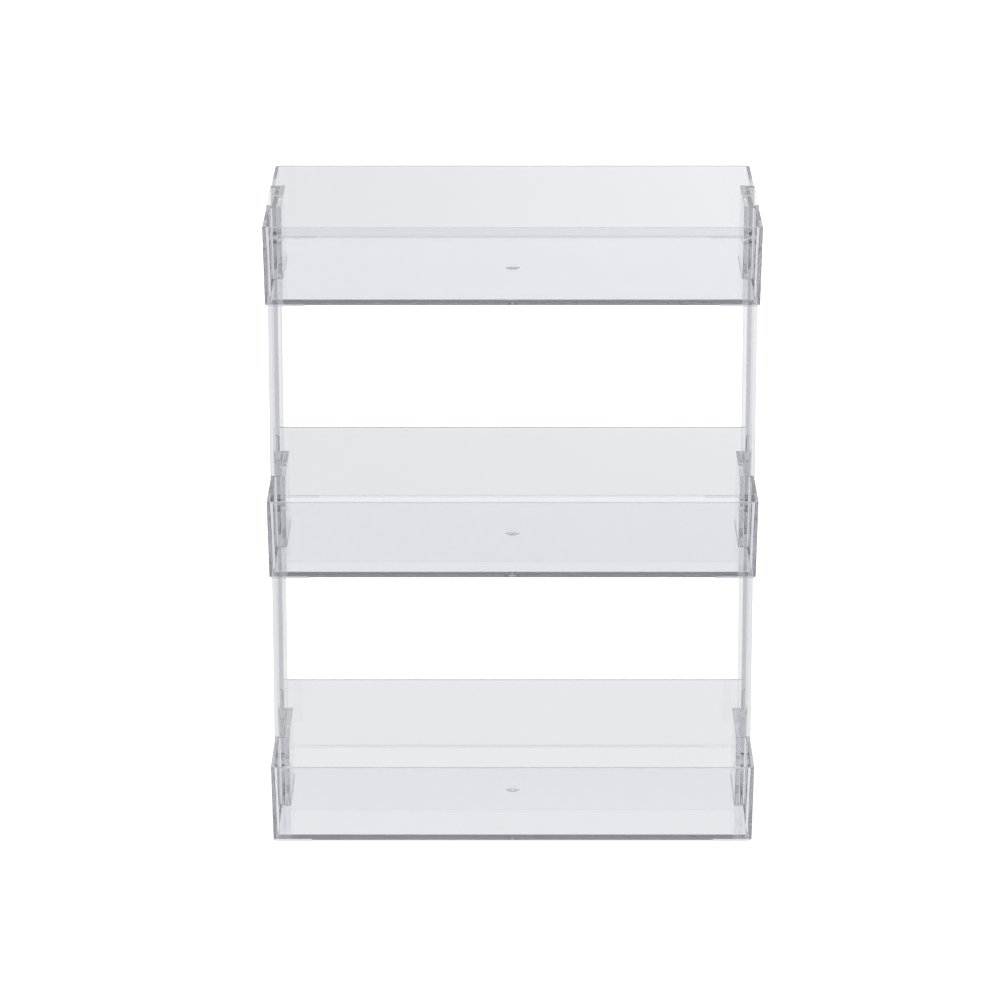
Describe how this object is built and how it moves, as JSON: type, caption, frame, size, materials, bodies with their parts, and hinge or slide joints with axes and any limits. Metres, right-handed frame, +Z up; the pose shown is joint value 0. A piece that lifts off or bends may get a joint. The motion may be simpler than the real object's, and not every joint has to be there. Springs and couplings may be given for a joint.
{
  "type": "vanity organizer",
  "caption": "Free-standing clear organizer for a vanity or counter: open rectangular trays, one above the other, snapped onto upright channel posts at both sides.",
  "frame": {"origin": "on the table, at the middle of the footprint, level with the undersides of the bottom tray's feet", "axes": "+X to the right across the width, -Y towards the front where the user stands, +Z up along the posts"},
  "size_m": [0.3058, 0.169, 0.4],
  "materials": {
    "clear_tray": "polished clear moulded polystyrene",
    "clear_post": "polished clear moulded polystyrene"
  },
  "bodies": {
    "root": {"tray_top": "clear_tray", "tray_middle": "clear_tray", "tray_bottom": "clear_tray", "post_left": "clear_post", "post_right": "clear_post"}
  },
  "joints": []
}
